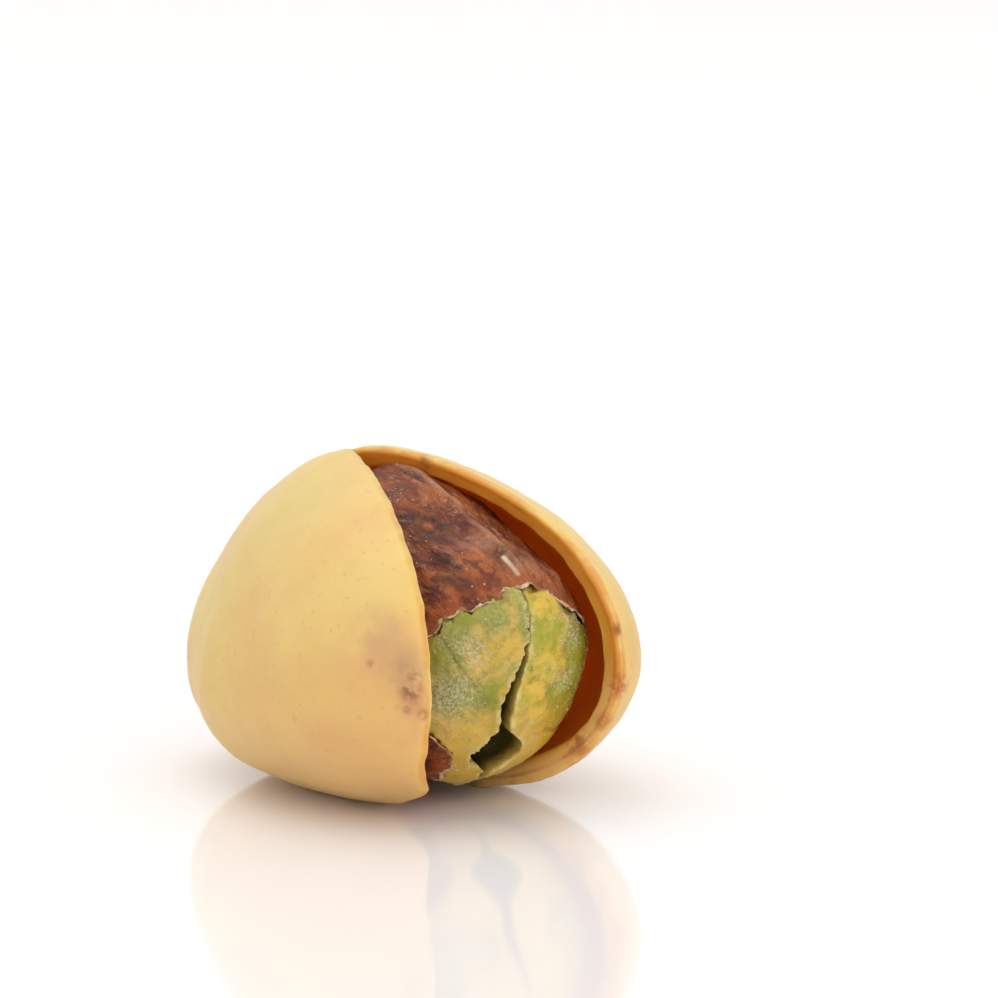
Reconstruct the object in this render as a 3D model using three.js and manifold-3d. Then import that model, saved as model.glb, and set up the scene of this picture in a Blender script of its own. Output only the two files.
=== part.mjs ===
// A roasted pistachio in its split shell, lying on the lower edge of its two valves.
//
// Millimetres, +Z up, +X from the base, where the valves are still joined, to the open tip.
// The origin is the middle of the footprint, on the surface that the nut lies on.
//
// The shell is first written as a closed nut, a smooth body whose length, heights and thickness
// each follow a rounded profile. Its wall is the same body moved inwards along the normal. Then
// each half is swung open about the end of the split, so both valves stay one piece at the base.
// The kernel is an ovoid of its own: two green halves with a cleft between them, in a brown skin
// that is torn back from the front.

import * as THREE from 'three';
import { mergeVertices } from 'three/addons/utils/BufferGeometryUtils.js';
import Module from 'manifold-3d';

const wasm = await Module();
wasm.setup();

// Closed nut: overall sizes
const NUT_LENGTH = 19;
const HALF_THICKNESS = 6.3;
const HEIGHT_ABOVE = 8.55;
const HEIGHT_BELOW = 4.28;
const TIP_RISE = 1.9;
const WALL = 0.8;

// Where along the length each profile is widest, and how blunt it is to the tip and to the base
const ABOVE = { widest: 7.5, tip: 1.6, base: 1.8 };
const BELOW = { widest: 11.2, tip: 3, base: 2.07 };
const SIDES = { widest: 8.3, tip: 1.65, base: 2.0 };
const SECTION_POWER = 2 / 1.8;

// Split: where it ends, and how far each valve is swung open
const SPLIT_END = 5.4;
const LEFT_OPENING = THREE.MathUtils.degToRad(21);
const RIGHT_OPENING = THREE.MathUtils.degToRad(15.4);
const RIM_BEND = 1;
const FLANK_BEND = 4.5;
const TURN_START = 0.9;
const TURN_END = 12;

// Places where the wall grew proud of the smooth form: which valve, how far along, how far round
// from its middle, and how proud. They fade over a few millimetres.
const SWELLINGS = [
  { side: -1, x: 3, around: 22, proud: 0.32 },
  { side: -1, x: 8.5, around: -36, proud: 0.26 },
  { side: -1, x: 16.6, around: -84, proud: 0.26 },
  { side: -1, x: 12, around: 12, proud: -0.14 },
  { side: 1, x: 6, around: 30, proud: 0.2 },
  { side: 1, x: 12.5, around: -20, proud: -0.16 },
];
const SWELLING_LENGTH = 2.2;
const SWELLING_TURN = 17;

// The underside is worn flat where the nut lies
const REST_FLAT_DEPTH = 0.32;

// Kernel: sizes, place of its middle in the nut, and its dip towards the tip
const KERNEL_FRONT = 4.45;
const KERNEL_REAR = 9.3;
const KERNEL_HALF_WIDTH = 4.4;
const KERNEL_ABOVE = 4.4;
const KERNEL_BELOW = 4.8;
const KERNEL_FRONT_BLUNTNESS = 3.2;
const KERNEL_REAR_BLUNTNESS = 2.5;
const KERNEL_WIDEST = new THREE.Vector3(12.98, 0.15, 2.22);
const KERNEL_DIP = THREE.MathUtils.degToRad(20);

// Skin, and what lies under it
const SKIN = 0.4;
const SKIN_GAP = 0.12;
const BARE_DEPTH = 0.08;

// The green comes up to the skin's level past the torn edge, in degrees towards the tip. The edge
// is looked at a few degrees to each side too, so that the green stays clear of its corners.
const BARE_FROM = 9;
const BARE_RISE = 14;
const BARE_LOOK_ROUND = 9;

// Cleft between the green halves. It leans to the left on its way down, comes back and ends in a pit.
const CLEFT_HAIRLINE = 0.1;
const CLEFT_LEAN = 0.7;
const CLEFT_LEAN_FROM = 3;
const CLEFT_LEAN_BACK = 0.6;
const CLEFT_MOUTH = 0.2;
const CLEFT_MOUTH_HEIGHT = -0.3;
const CLEFT_MOUTH_REACH = 1.9;
const CLEFT_DEPTH = 3.4;
const PIT_HALF_WIDTH = 0.8;
const PIT_HEIGHT = -2.2;
const PIT_REACH = 0.75;
const PIT_SQUARENESS = 4;
const PIT_DEPTH_SHARE = 1.6;
const BLOCK_MARGIN = 1;

// Mesh fineness
const SHELL_STATIONS = 34;
const SHELL_STEPS = 20;
const KERNEL_STATIONS = 26;
const KERNEL_STEPS = 40;
const CLEFT_STEPS = 26;
const SKIN_ROWS = 12;
const SKIN_STEPS = 72;
const MERGE_WITHIN = 1e-4;
const NORMAL_STEP = 1e-3;

// Torn edge of the skin: [degrees round the kernel, degrees from its widest ring to its tip].
// Round the kernel, 0 is the right side, 90 the top, 180 the left side and -90 the underside.
const TORN_EDGE = [
  [-180, 5], [-167, 14], [-158, 38], [-146, 47], [-130, 45], [-120, 33], [-108, 14], [-85, 6],
  [-45, 5], [-10, 8], [12, 16], [28, 26], [45, 31], [58, 34], [72, 30], [88, 27],
  [100, 27], [112, 31], [122, 28], [132, 24], [139, 21], [144, 25], [152, 17], [166, 9],
];
const TORN_JAG = 1.1;
const TORN_JAG_WAVE = 0.37;
const TORN_JAG_SWELL = 0.11;

const SHELL_MATERIAL = new THREE.MeshStandardMaterial({ color: 0xe6c98f, roughness: 0.45, metalness: 0 });
const SKIN_MATERIAL = new THREE.MeshStandardMaterial({ color: 0x7a4028, roughness: 0.55, metalness: 0 });
const GREEN_MATERIAL = new THREE.MeshStandardMaterial({ color: 0x9a9a2e, roughness: 0.6, metalness: 0 });

// Small helpers

function clamp01(value) {
  return Math.min(1, Math.max(0, value));
}

function smooth(value) {
  const t = clamp01(value);
  return t * t * (3 - 2 * t);
}

function signedPower(value, power) {
  return Math.sign(value) * Math.abs(value) ** power;
}

// A rounded profile along the nut: 1 where it is widest, 0 at the base and at the tip.
function profile(x, length, shape) {
  const towardsTip = clamp01((x - shape.widest) / (length - shape.widest));
  const towardsBase = clamp01((shape.widest - x) / shape.widest);
  const used = x > shape.widest ? towardsTip ** shape.tip : towardsBase ** shape.base;
  return Math.sqrt(clamp01(1 - used));
}

// Triangles for a grid of points, rows by columns, with the rows' ends joined if closed.
function gridTriangles(rows, closed) {
  const triangles = [];
  for (let i = 0; i + 1 < rows.length; i += 1) {
    const columns = rows[i].length;
    const last = closed ? columns : columns - 1;
    for (let j = 0; j < last; j += 1) {
      const k = (j + 1) % columns;
      triangles.push([rows[i][j], rows[i + 1][j], rows[i + 1][k]]);
      triangles.push([rows[i][j], rows[i + 1][k], rows[i][k]]);
    }
  }
  return triangles;
}

function flipped(triangles) {
  return triangles.map(([a, b, c]) => [a, c, b]);
}

// Joins loose triangles into one closed geometry, with its faces pointing out.
function solidGeometry(triangles) {
  const positions = triangles.flatMap((corners) => corners.flatMap((p) => [p.x, p.y, p.z]));
  const loose = new THREE.BufferGeometry();
  loose.setAttribute('position', new THREE.Float32BufferAttribute(positions, 3));
  const merged = mergeVertices(loose, MERGE_WITHIN);
  const index = merged.getIndex().array;
  const kept = [];
  for (let t = 0; t < index.length; t += 3) {
    const [a, b, c] = [index[t], index[t + 1], index[t + 2]];
    if (a !== b && b !== c && c !== a) kept.push(a, b, c);
  }
  const position = merged.getAttribute('position');
  const corner = (i) => new THREE.Vector3().fromBufferAttribute(position, i);
  let volume = 0;
  for (let t = 0; t < kept.length; t += 3) {
    volume += corner(kept[t]).dot(corner(kept[t + 1]).cross(corner(kept[t + 2])));
  }
  if (volume < 0) kept.reverse();
  merged.setIndex(kept);
  return merged;
}

function toManifold(geometry) {
  return new wasm.Manifold(new wasm.Mesh({
    numProp: 3,
    vertProperties: new Float32Array(geometry.getAttribute('position').array),
    triVerts: new Uint32Array(geometry.getIndex().array),
  }));
}

function fromManifold(solid) {
  const mesh = solid.getMesh();
  const geometry = new THREE.BufferGeometry();
  geometry.setAttribute('position', new THREE.BufferAttribute(mesh.vertProperties, 3));
  geometry.setIndex(new THREE.BufferAttribute(mesh.triVerts, 1));
  return geometry;
}

function plainMesh(name, geometry, material) {
  geometry.computeVertexNormals();
  const mesh = new THREE.Mesh(geometry, material);
  mesh.name = name;
  return mesh;
}

// Shell

function halfThickness(x) {
  return HALF_THICKNESS * profile(x, NUT_LENGTH, SIDES);
}

// How much wider than its smooth form a valve is at a place.
function swelling(x, around, side) {
  let proud = 0;
  for (const place of SWELLINGS) {
    const away = ((x - place.x) / SWELLING_LENGTH) ** 2 + ((around - place.around) / SWELLING_TURN) ** 2;
    if (place.side === side) proud += place.proud * Math.exp(-away);
  }
  return 1 + proud / HALF_THICKNESS;
}

// A point on the outside of the closed nut. along runs from 0 at the base to PI at the tip, and
// around from -PI/2 at the lower edge of the split to PI/2 at the upper edge.
function closedPoint(along, around, side) {
  const x = (NUT_LENGTH / 2) * (1 - Math.cos(along));
  const swell = swelling(x, THREE.MathUtils.radToDeg(around), side);
  const above = Math.sin(around) > 0;
  const height = above
    ? HEIGHT_ABOVE * profile(x, NUT_LENGTH, ABOVE)
    : HEIGHT_BELOW * profile(x, NUT_LENGTH, BELOW);
  const rise = TIP_RISE * (x / NUT_LENGTH) ** 2;
  return new THREE.Vector3(
    x,
    swell * halfThickness(x) * signedPower(Math.cos(around), SECTION_POWER),
    rise + swell * height * signedPower(Math.sin(around), SECTION_POWER),
  );
}

// The same point on the inside of the wall.
function closedInnerPoint(along, around, side) {
  const at = (a, b) => closedPoint(a, b, side);
  const lengthwise = at(along + NORMAL_STEP, around).sub(at(along - NORMAL_STEP, around));
  const crosswise = at(along, around + NORMAL_STEP).sub(at(along, around - NORMAL_STEP));
  const inward = lengthwise.cross(crosswise).normalize();
  const point = at(along, around).addScaledVector(inward, WALL);
  point.y = Math.max(0, point.y);
  return point;
}

// Swings a point of the closed nut open with its valve: side is -1 for the left and 1 for the right.
// The rim turns sharply at the end of the split, and the flank of the valve turns over a longer way.
function swungOpen(point, side) {
  const opening = side < 0 ? LEFT_OPENING : RIGHT_OPENING;
  const y = Math.abs(point.y);
  const flank = smooth(y / Math.max(halfThickness(point.x), 1e-6));
  const bend = RIM_BEND + (FLANK_BEND - RIM_BEND) * flank;
  const past = point.x - (SPLIT_END + RIM_BEND / 2 - bend / 2);
  const run = past < bend ? Math.max(0, past) ** 2 / (2 * bend) : past - bend / 2;
  const turned = smooth((point.x - TURN_START) / (TURN_END - TURN_START));
  const lost = 1 - Math.cos(opening);
  return new THREE.Vector3(
    point.x - lost * run - y * Math.sin(opening) * turned,
    side * (y * (1 - lost * turned) + Math.sin(opening) * run),
    point.z,
  );
}

// Stations along the nut, closer together at both ends, with one at the end of the split.
function shellStations() {
  const stations = [];
  for (let i = 0; i <= SHELL_STATIONS; i += 1) {
    stations.push((Math.PI * i) / SHELL_STATIONS);
  }
  const splitEnd = Math.acos(1 - (2 * SPLIT_END) / NUT_LENGTH);
  const nearest = Math.round((splitEnd / Math.PI) * SHELL_STATIONS);
  stations[nearest] = splitEnd;
  return { stations, splitIndex: nearest };
}

function makeShell() {
  const { stations, splitIndex } = shellStations();
  const triangles = [];
  for (const side of [-1, 1]) {
    const outer = [];
    const inner = [];
    stations.forEach((along, i) => {
      const atPole = i === 0 || i === SHELL_STATIONS;
      const outerRow = [];
      const innerRow = [];
      for (let j = 0; j <= SHELL_STEPS; j += 1) {
        const around = Math.PI * (j / SHELL_STEPS - 0.5);
        const outside = closedPoint(along, around, side);
        const inside = closedInnerPoint(along, around, side);
        if (atPole) {
          inside.copy(outside);
          inside.x += i === 0 ? WALL : -WALL;
        }
        const onSeam = i <= splitIndex && (j === 0 || j === SHELL_STEPS);
        outerRow.push(onSeam ? outside : swungOpen(outside, side));
        innerRow.push(onSeam ? inside : swungOpen(inside, side));
      }
      outer.push(outerRow);
      inner.push(innerRow);
    });
    const lowerRim = [];
    const upperRim = [];
    for (let i = splitIndex; i <= SHELL_STATIONS; i += 1) {
      lowerRim.push([outer[i][0], inner[i][0]]);
      upperRim.push([inner[i][SHELL_STEPS], outer[i][SHELL_STEPS]]);
    }
    const faces = [
      ...gridTriangles(outer, false),
      ...flipped(gridTriangles(inner, false)),
      ...flipped(gridTriangles(lowerRim, false)),
      ...flipped(gridTriangles(upperRim, false)),
    ];
    triangles.push(...(side < 0 ? faces : flipped(faces)));
  }
  return solidGeometry(triangles);
}

// Takes the rest flats off the underside, so that the nut lies still.
function withRestFlats(geometry) {
  geometry.computeBoundingBox();
  const lowest = geometry.boundingBox.min.z;
  const size = 4 * NUT_LENGTH;
  const block = new THREE.BoxGeometry(size, size, size);
  block.deleteAttribute('normal');
  block.deleteAttribute('uv');
  block.translate(0, 0, lowest + REST_FLAT_DEPTH - size / 2);
  return fromManifold(toManifold(geometry).subtract(toManifold(mergeVertices(block))));
}

// Kernel

// A point on the kernel, depth below the skin's outside. towardsTip runs from -PI/2 at the rear to
// PI/2 at the tip, and around from 0 at the right side through the top.
function kernelLocal(towardsTip, around, depth) {
  const isFront = towardsTip > 0;
  const length = (isFront ? KERNEL_FRONT : KERNEL_REAR) - depth;
  const bluntness = isFront ? KERNEL_FRONT_BLUNTNESS : KERNEL_REAR_BLUNTNESS;
  const ring = Math.cos(towardsTip);
  const height = (Math.sin(around) > 0 ? KERNEL_ABOVE : KERNEL_BELOW) - depth;
  return new THREE.Vector3(
    length * signedPower(Math.sin(towardsTip), 2 / bluntness),
    ring * (KERNEL_HALF_WIDTH - depth) * Math.cos(around),
    ring * height * Math.sin(around),
  );
}

function placedInNut(point) {
  return point.applyAxisAngle(new THREE.Vector3(0, 1, 0), KERNEL_DIP).add(KERNEL_WIDEST);
}

// How far the skin reaches towards the tip at an angle round the kernel, both in degrees.
function tornEdge(around) {
  const turn = THREE.MathUtils.euclideanModulo(around + 180, 360) - 180;
  const count = TORN_EDGE.length;
  let first = count - 1;
  for (let i = 0; i < count; i += 1) {
    if (TORN_EDGE[i][0] <= turn) first = i;
  }
  const [fromAngle, fromReach] = TORN_EDGE[first];
  const [nextAngle, nextReach] = TORN_EDGE[(first + 1) % count];
  const span = THREE.MathUtils.euclideanModulo(nextAngle - fromAngle, 360);
  const share = (turn - fromAngle) / span;
  const jag = Math.sin(turn * TORN_JAG_WAVE) * Math.cos(turn * TORN_JAG_SWELL + 1) * TORN_JAG;
  return THREE.MathUtils.lerp(fromReach, nextReach, share) + jag;
}

function makeSkin() {
  const outer = [];
  const inner = [];
  for (let i = 0; i <= SKIN_ROWS; i += 1) {
    const outerRow = [];
    const innerRow = [];
    for (let j = 0; j < SKIN_STEPS; j += 1) {
      const around = (2 * Math.PI * j) / SKIN_STEPS;
      const edge = THREE.MathUtils.degToRad(tornEdge(THREE.MathUtils.radToDeg(around)));
      const towardsTip = THREE.MathUtils.lerp(-Math.PI / 2, edge, i / SKIN_ROWS);
      outerRow.push(placedInNut(kernelLocal(towardsTip, around, 0)));
      innerRow.push(placedInNut(kernelLocal(towardsTip, around, SKIN)));
    }
    outer.push(outerRow);
    inner.push(innerRow);
  }
  const rim = [inner[SKIN_ROWS], outer[SKIN_ROWS]];
  return solidGeometry([
    ...gridTriangles(outer, true),
    ...flipped(gridTriangles(inner, true)),
    ...flipped(gridTriangles(rim, true)),
  ]);
}

// The cleft between the green halves: its middle and half its width, from the height in the kernel.
function cleftFace(x, z, side) {
  const open = smooth(1 - (KERNEL_FRONT - x) / CLEFT_DEPTH);
  const leanBack = 1 - smooth(-z / CLEFT_LEAN_FROM) * CLEFT_LEAN_BACK;
  const leanDown = smooth((CLEFT_LEAN_FROM - z) / CLEFT_LEAN_FROM) * leanBack;
  const lean = -CLEFT_LEAN * leanDown * smooth((x + KERNEL_FRONT) / (2 * KERNEL_FRONT));
  const mouth = CLEFT_MOUTH * Math.exp(-(((z - CLEFT_MOUTH_HEIGHT) / CLEFT_MOUTH_REACH) ** 2));
  const pit = PIT_HALF_WIDTH * Math.exp(-(((z - PIT_HEIGHT) / PIT_REACH) ** PIT_SQUARENESS));
  return lean + side * (CLEFT_HAIRLINE + open * mouth + smooth(open * PIT_DEPTH_SHARE) * pit);
}

// A block that holds everything on one side of the cleft.
function cleftSide(side) {
  const reach = KERNEL_REAR + BLOCK_MARGIN;
  const lowest = -KERNEL_BELOW - BLOCK_MARGIN;
  const highest = KERNEL_ABOVE + BLOCK_MARGIN;
  const face = [];
  const back = [];
  for (let i = 0; i <= CLEFT_STEPS; i += 1) {
    const x = THREE.MathUtils.lerp(-reach, KERNEL_FRONT + BLOCK_MARGIN, Math.sqrt(i / CLEFT_STEPS));
    const faceRow = [];
    const backRow = [];
    for (let j = 0; j <= CLEFT_STEPS; j += 1) {
      const z = THREE.MathUtils.lerp(lowest, highest, j / CLEFT_STEPS);
      faceRow.push(placedInNut(new THREE.Vector3(x, cleftFace(x, z, side), z)));
      backRow.push(placedInNut(new THREE.Vector3(x, side * reach, z)));
    }
    face.push(faceRow);
    back.push(backRow);
  }
  const edge = (j) => face.map((row, i) => [row[j], back[i][j]]);
  return solidGeometry([
    ...gridTriangles(face, false),
    ...flipped(gridTriangles(back, false)),
    ...flipped(gridTriangles(edge(0), false)),
    ...gridTriangles(edge(CLEFT_STEPS), false),
    ...flipped(gridTriangles([face[0], back[0]], false)),
    ...gridTriangles([face[CLEFT_STEPS], back[CLEFT_STEPS]], false),
  ]);
}

// The green of the kernel. It lies under the skin, and comes up where the skin is torn away.
function makeGreen() {
  const rows = [];
  for (let i = 0; i <= KERNEL_STATIONS; i += 1) {
    const towardsTip = Math.PI * (i / KERNEL_STATIONS - 0.5);
    const row = [];
    for (let j = 0; j < KERNEL_STEPS; j += 1) {
      const turn = (360 * j) / KERNEL_STEPS;
      const looks = [turn - BARE_LOOK_ROUND, turn, turn + BARE_LOOK_ROUND].map(tornEdge);
      const past = THREE.MathUtils.radToDeg(towardsTip) - Math.max(...looks);
      const bare = smooth((past - BARE_FROM) / BARE_RISE);
      const depth = THREE.MathUtils.lerp(SKIN + SKIN_GAP, BARE_DEPTH, bare);
      row.push(placedInNut(kernelLocal(towardsTip, THREE.MathUtils.degToRad(turn), depth)));
    }
    rows.push(row);
  }
  return solidGeometry(gridTriangles(rows, true));
}

function makeCotyledon(side) {
  return fromManifold(toManifold(makeGreen()).intersect(toManifold(cleftSide(side))));
}

// Whole nut, set down with the middle of its footprint at the origin

function makeNut() {
  const nut = new THREE.Group();
  nut.add(plainMesh('shell', withRestFlats(makeShell()), SHELL_MATERIAL));
  nut.add(plainMesh('seed_coat', makeSkin(), SKIN_MATERIAL));
  nut.add(plainMesh('cotyledon_left', makeCotyledon(-1), GREEN_MATERIAL));
  nut.add(plainMesh('cotyledon_right', makeCotyledon(1), GREEN_MATERIAL));
  const box = new THREE.Box3().setFromObject(nut);
  const middle = box.getCenter(new THREE.Vector3());
  nut.position.set(-middle.x, -middle.y, -box.min.z);
  return nut;
}

export default makeNut();
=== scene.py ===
# %% [markdown]
# # A roasted pistachio in its split shell
# The solids of the nut come from the frame, at their real size and place. This script gives each
# of them a finer mesh and a finish: the smooth woody shell, the wrinkled brown seed skin, and the
# waxy green kernel with its salt. Lengths are written in millimetres and turned to metres.

import math
import random

import bmesh
import bpy
from mathutils import Euler, Matrix, Vector, kdtree, noise


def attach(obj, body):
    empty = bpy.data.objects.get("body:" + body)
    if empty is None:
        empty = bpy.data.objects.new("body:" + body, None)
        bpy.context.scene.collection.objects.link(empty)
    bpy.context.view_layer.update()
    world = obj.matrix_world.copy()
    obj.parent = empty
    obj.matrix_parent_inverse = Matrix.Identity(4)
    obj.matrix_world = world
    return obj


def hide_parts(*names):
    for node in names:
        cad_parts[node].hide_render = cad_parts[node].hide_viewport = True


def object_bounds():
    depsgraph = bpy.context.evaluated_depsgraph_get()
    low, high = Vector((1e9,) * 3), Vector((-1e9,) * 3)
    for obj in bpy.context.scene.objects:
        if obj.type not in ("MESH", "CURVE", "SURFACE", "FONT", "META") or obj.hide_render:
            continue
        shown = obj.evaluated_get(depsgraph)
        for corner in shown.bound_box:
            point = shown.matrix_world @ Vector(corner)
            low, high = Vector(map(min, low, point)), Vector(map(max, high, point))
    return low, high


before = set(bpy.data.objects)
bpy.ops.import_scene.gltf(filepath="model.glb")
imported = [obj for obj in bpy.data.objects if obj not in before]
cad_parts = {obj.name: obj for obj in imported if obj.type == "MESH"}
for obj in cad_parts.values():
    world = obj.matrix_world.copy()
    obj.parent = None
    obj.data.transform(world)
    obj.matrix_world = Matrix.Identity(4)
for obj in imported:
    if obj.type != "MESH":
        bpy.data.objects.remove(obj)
cad_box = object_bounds()
MM = 0.001

# The point that the nut's solids are drawn round
NUT_MIDDLE = Vector((0.235, 0.245, 3.465)) * MM
print("the nut measures", [round(x / MM, 2) for x in cad_box[1] - cad_box[0]], "mm")


# %% [markdown]
# ## Camera
# The nut was photographed from close to its open tip, a little from above, with a long lens: it
# fills the left middle of the frame. A short lens close by would frame it too, but would make the
# near valve look swollen. So the camera stands 260 mm off and sees an angle of about eight degrees.

# %% Camera
CAMERA_AZIMUTH = math.radians(54.52)
CAMERA_ELEVATION = math.radians(11.88)
CAMERA_ROLL = math.radians(-0.61)
CAMERA_DISTANCE = 260 * MM
CAMERA_LENS_MM = 254.5
CLIP_START, CLIP_END = 10 * MM, 5000 * MM
FRAME_MIDDLE_RIGHT = 3.70 * MM
FRAME_MIDDLE_UP = 7.04 * MM


def towards(azimuth, elevation):
    """The direction from the nut at these angles. Azimuth 0 is the nut's side and 90 its tip."""
    level = math.cos(elevation)
    return Vector((math.sin(azimuth) * level, -math.cos(azimuth) * level, math.sin(elevation)))


def add_camera():
    """A camera that sees the nut as the photograph does, left of the frame's middle and below it."""
    back = towards(CAMERA_AZIMUTH, CAMERA_ELEVATION)
    level_right = Vector((math.cos(CAMERA_AZIMUTH), math.sin(CAMERA_AZIMUTH), 0))
    level_up = back.cross(level_right)
    right = math.cos(CAMERA_ROLL) * level_right + math.sin(CAMERA_ROLL) * level_up
    up = math.cos(CAMERA_ROLL) * level_up - math.sin(CAMERA_ROLL) * level_right
    place = NUT_MIDDLE + back * CAMERA_DISTANCE
    aim = NUT_MIDDLE + right * FRAME_MIDDLE_RIGHT + up * FRAME_MIDDLE_UP
    towards_camera = (place - aim).normalized()
    side = up.cross(towards_camera).normalized()
    turn = Matrix((side, towards_camera.cross(side), towards_camera)).transposed()
    bpy.ops.object.camera_add(location=place, rotation=turn.to_euler())
    camera = bpy.context.object
    camera.data.lens = CAMERA_LENS_MM
    camera.data.clip_start = CLIP_START
    camera.data.clip_end = CLIP_END
    bpy.context.scene.camera = camera
    return camera


print("camera at", [round(x / MM, 1) for x in add_camera().location], "mm")


# %% [markdown]
# ## Tools for meshes
# A solid from the frame is a mesh of loose triangles, which no modifier can smooth. Each piece
# starts as a copy of one, with its corners merged and its triangles paired into quads, because a
# subdivision surface is smoother on quads. The other tools deselect everything before they work on
# a piece, apply a modifier, and keep measures on a piece that its finish reads later.

# %% Mesh tools
MERGE_WITHIN = 0.002 * MM
QUAD_FACE_ANGLE = math.radians(50)
QUAD_SHAPE_ANGLE = math.radians(60)


def pick(piece):
    """Makes one piece the only selected and active object."""
    bpy.ops.object.select_all(action="DESELECT")
    piece.select_set(True)
    bpy.context.view_layer.objects.active = piece


def modify(piece, kind, **settings):
    """Adds a modifier with its settings and applies it."""
    pick(piece)
    modifier = piece.modifiers.new(kind.lower(), kind)
    for name, value in settings.items():
        setattr(modifier, name, value)
    bpy.ops.object.modifier_apply(modifier=modifier.name)


def finer_copy(node_name, name):
    """A new piece with a CAD node's mesh, merged and in quads."""
    piece = bpy.data.objects.new(name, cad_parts[node_name].data.copy())
    bpy.context.scene.collection.objects.link(piece)
    piece.data.materials.clear()
    pick(piece)
    bpy.ops.object.mode_set(mode="EDIT")
    bpy.ops.mesh.select_all(action="SELECT")
    bpy.ops.mesh.remove_doubles(threshold=MERGE_WITHIN)
    bpy.ops.mesh.customdata_custom_splitnormals_clear()
    bpy.ops.mesh.tris_convert_to_quads(face_threshold=QUAD_FACE_ANGLE, shape_threshold=QUAD_SHAPE_ANGLE)
    bpy.ops.object.mode_set(mode="OBJECT")
    return piece


def show_smooth(piece):
    """Shades a finished piece smooth and says how fine it is."""
    pick(piece)
    bpy.ops.object.shade_smooth()
    print(piece.name, "has", len(piece.data.polygons), "faces")


def smooth_step(value, low, high):
    """0 below low, 1 above high and a soft rise between them. Works downwards if low is above high."""
    t = min(1.0, max(0.0, (value - low) / (high - low)))
    return t * t * (3 - 2 * t)


def measure(piece, name, values):
    """Keeps one number for each vertex in a named attribute, where a material can read it."""
    attribute = piece.data.attributes.new(name, "FLOAT", "POINT")
    attribute.data.foreach_set("value", values)


def read(piece, name):
    """The numbers of a named attribute, one for each vertex."""
    values = [0.0] * len(piece.data.vertices)
    piece.data.attributes[name].data.foreach_get("value", values)
    return values


# %% [markdown]
# ## Tools for rims
# Much of what the eye reads on this nut happens near a rim: the shell's lip is darker, the skin is
# ragged where it tore, and the kernel halves are crumbly along the cleft. A rim is where the solid
# turns sharply. A search tree over points on those edges tells how far any place is from the rim,
# which is simpler than painting a mask by hand and still fits when the solid changes.

# %% Rim tools
RIM_ANGLE = math.radians(48)
RIM_STEPS = 4


def tree_of(points):
    """A search tree that finds the nearest of these points."""
    found = kdtree.KDTree(len(points))
    for number, point in enumerate(points):
        found.insert(point, number)
    found.balance()
    return found


def is_sharp(edge, angle=RIM_ANGLE):
    """Whether the surface turns by more than an angle at an edge."""
    return len(edge.link_faces) == 2 and edge.calc_face_angle() > angle


def points_on(edge, steps=RIM_STEPS):
    """Points along an edge, from its start."""
    start, end = [v.co.copy() for v in edge.verts]
    return [start.lerp(end, step / steps) for step in range(steps)]


def rim_points(piece, steps=RIM_STEPS):
    """Points along the sharp edges of a piece, so many for each edge."""
    mesh = bmesh.new()
    mesh.from_mesh(piece.data)
    points = [point for edge in mesh.edges if is_sharp(edge) for point in points_on(edge, steps)]
    mesh.free()
    return points


# %% [markdown]
# ## Tools for finishes
# Colours are written as sRGB hex values, as a painter would read them off a chart, and one
# function turns them to linear light. One function adds any shader node. A finish is then painted
# as on a model: a ground colour, and thin layers over it, each held back by soft masks. The masks
# are cloudy patches of a real size, or measures that a mesh tool has kept on the piece. An image
# would be quicker, but it has seams, one resolution, and light baked into it.

# %% Finish tools
def linear(hex_code):
    """An sRGB hex colour as linear RGBA."""
    parts = [int(hex_code[i : i + 2], 16) / 255 for i in (1, 3, 5)]
    return [c / 12.92 if c <= 0.04045 else ((c + 0.055) / 1.055) ** 2.4 for c in parts] + [1.0]


def node(material, kind, inputs, output=0, **settings):
    """Adds a shader node, fills its inputs with links, numbers or hex colours, and returns an output."""
    made = material.node_tree.nodes.new("ShaderNode" + kind)
    for name, value in settings.items():
        setattr(made, name, value)
    for name, value in inputs.items():
        if isinstance(value, bpy.types.NodeSocket):
            material.node_tree.links.new(value, made.inputs[name])
        elif isinstance(value, str):
            made.inputs[name].default_value = linear(value)
        else:
            made.inputs[name].default_value = value
    return made.outputs[output]


def lumps(place, size_mm, detail=3.0, roughness=0.55, distortion=0.0):
    """The inputs of a noise whose lumps are about that many millimetres apart."""
    inputs = {"Vector": place, "Scale": 1 / (size_mm * MM), "Detail": detail}
    return {**inputs, "Roughness": roughness, "Distortion": distortion}


def mask(material, value, start, end, least=0.0, most=1.0):
    """A soft mask, least where a value is at start and most at end. A measure is given by its name."""
    if isinstance(value, str):
        value = node(material, "Attribute", {}, "Fac", attribute_name=value)
    reach = {"Value": value, "From Min": start, "From Max": end, "To Min": least, "To Max": most}
    return node(material, "MapRange", reach, "Result", interpolation_type="SMOOTHSTEP")


def patches(material, noise_inputs, start, end, least=0.0, most=1.0):
    """A mask of soft cloudy patches."""
    return mask(material, node(material, "TexNoise", noise_inputs), start, end, least, most)


def product(material, *masks):
    """Masks laid over one another: high where all of them are."""
    total = masks[0]
    for other in masks[1:]:
        total = node(material, "Math", {0: total, 1: other}, operation="MULTIPLY")
    return total


def paint(material, tone, colour, *masks):
    """A tone with a layer of colour over it, held back by masks."""
    share = product(material, *masks)
    return node(material, "Mix", {0: share, 6: tone, 7: colour}, 2, data_type="RGBA")


def spotted(material, tone, place, cloud, spots):
    """Paints spots that fade out from their centres and are broken up by a cloud."""
    for centre, radius, strength, colour in spots:
        to_centre = {0: place, 1: [c * MM for c in centre]}
        away = node(material, "VectorMath", to_centre, "Value", operation="DISTANCE")
        near = mask(material, away, radius * MM, 0.1 * radius * MM)
        tone = paint(material, tone, colour, near, cloud, strength)
    return tone


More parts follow.
